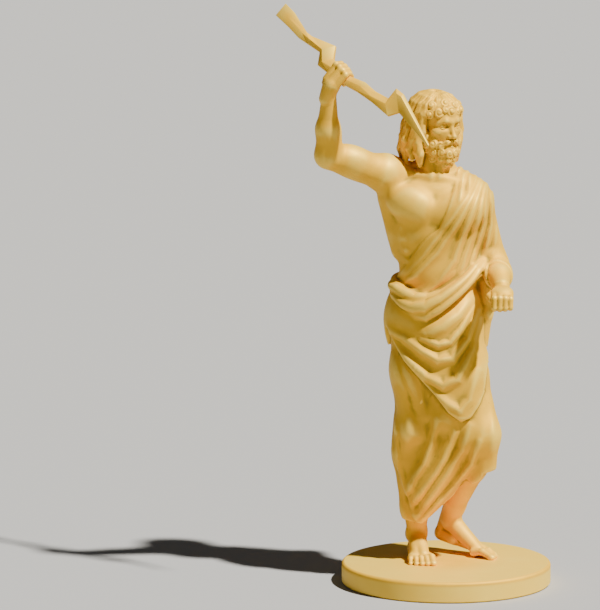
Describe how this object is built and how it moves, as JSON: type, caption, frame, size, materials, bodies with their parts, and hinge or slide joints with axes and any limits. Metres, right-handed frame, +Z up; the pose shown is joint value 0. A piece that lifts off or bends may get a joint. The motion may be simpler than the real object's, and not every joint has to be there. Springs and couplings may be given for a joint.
{
  "type": "zeus statue",
  "caption": "Life-size standing bearded figure in a draped mantle, one arm raised to hurl a zigzag thunderbolt, on a low round plinth.",
  "frame": {"origin": "centre of the plinth's flat underside", "axes": "+Z up, the figure faces -Y, +X towards the figure's left hand"},
  "size_m": [1.0532, 0.8449, 2.2151],
  "materials": {
    "golden_cast": "matte golden finish over cast bronze"
  },
  "bodies": {
    "root": {"plinth": "golden_cast", "figure": "golden_cast", "lightning_bolt": "golden_cast"}
  },
  "joints": []
}
